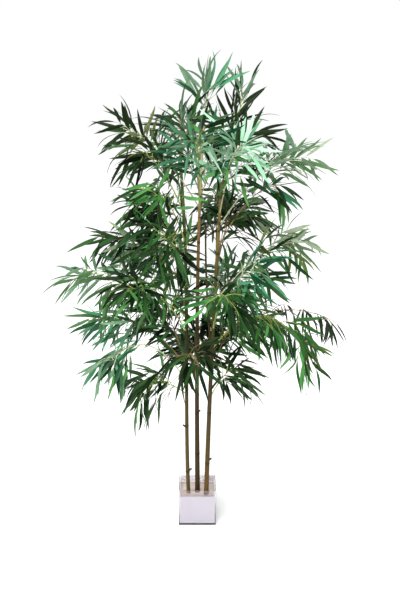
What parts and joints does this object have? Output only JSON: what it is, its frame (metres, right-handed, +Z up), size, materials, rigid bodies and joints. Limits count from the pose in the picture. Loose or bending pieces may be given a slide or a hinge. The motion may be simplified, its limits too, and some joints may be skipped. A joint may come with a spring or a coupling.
{
  "type": "artificial bamboo tree in a clear cube planter",
  "caption": "Upright artificial bamboo tree: natural cane poles with arching boughs of narrow fabric leaves, standing in a clear square planter filled with white plaster.",
  "frame": {"origin": "middle of the flat underside of the planter", "axes": "+Z up along the canes; the widest spread of leaves runs along X and the front faces -Y"},
  "size_m": [1.2612, 0.9017, 1.8463],
  "materials": {
    "clear_acrylic": "clear, polished",
    "white_plaster": "matt, cast",
    "olive_cane": "satin natural cane",
    "golden_cane": "satin natural cane",
    "dark_cane": "dull natural cane",
    "wrapped_wire": "matt paper-wrapped wire",
    "green_fabric": "matt printed fabric"
  },
  "bodies": {
    "root": {"bough_back_high": "wrapped_wire", "bough_back_left": "wrapped_wire", "bough_back_right": "wrapped_wire", "bough_front_left": "wrapped_wire", "bough_front_right": "wrapped_wire", "bough_left_back": "wrapped_wire", "bough_left_far": "wrapped_wire", "bough_left_front": "wrapped_wire", "bough_left_high_front": "wrapped_wire", "bough_left_low": "wrapped_wire", "bough_left_low_far": "wrapped_wire", "bough_right_front": "wrapped_wire", "bough_right_high": "wrapped_wire", "bough_right_high_far": "wrapped_wire", "bough_right_low": "wrapped_wire", "bough_right_low_far": "wrapped_wire", "bough_right_mid": "wrapped_wire", "bough_upper_back": "wrapped_wire", "bough_upper_left_far": "wrapped_wire", "bough_upper_left_low": "wrapped_wire", "cane_left": "olive_cane", "cane_middle": "golden_cane", "cane_right": "golden_cane", "cane_thin": "dark_cane", "glass_cube": "clear_acrylic", "leaves_back_high": "green_fabric", "leaves_back_left": "green_fabric", "leaves_back_low": "green_fabric", "leaves_back_right": "green_fabric", "leaves_front_left": "green_fabric", "leaves_front_low": "green_fabric", "leaves_front_right": "green_fabric", "leaves_left_back": "green_fabric", "leaves_left_far": "green_fabric", "leaves_left_front": "green_fabric", "leaves_left_high": "green_fabric", "leaves_left_high_front": "green_fabric", "leaves_left_inner": "green_fabric", "leaves_left_low": "green_fabric", "leaves_left_low_far": "green_fabric", "leaves_left_low_inner": "green_fabric", "leaves_right_front": "green_fabric", "leaves_right_high": "green_fabric", "leaves_right_high_far": "green_fabric", "leaves_right_high_low": "green_fabric", "leaves_right_inner": "green_fabric", "leaves_right_low": "green_fabric", "leaves_right_low_far": "green_fabric", "leaves_right_low_inner": "green_fabric", "leaves_right_mid": "green_fabric", "leaves_top": "green_fabric", "leaves_upper_back": "green_fabric", "leaves_upper_front": "green_fabric", "leaves_upper_left_far": "green_fabric", "leaves_upper_left_inner": "green_fabric", "leaves_upper_left_low": "green_fabric", "leaves_upper_right": "green_fabric", "leaves_upper_right_front": "green_fabric", "leaves_upper_right_inner": "green_fabric", "plaster_fill": "white_plaster"}
  },
  "joints": []
}
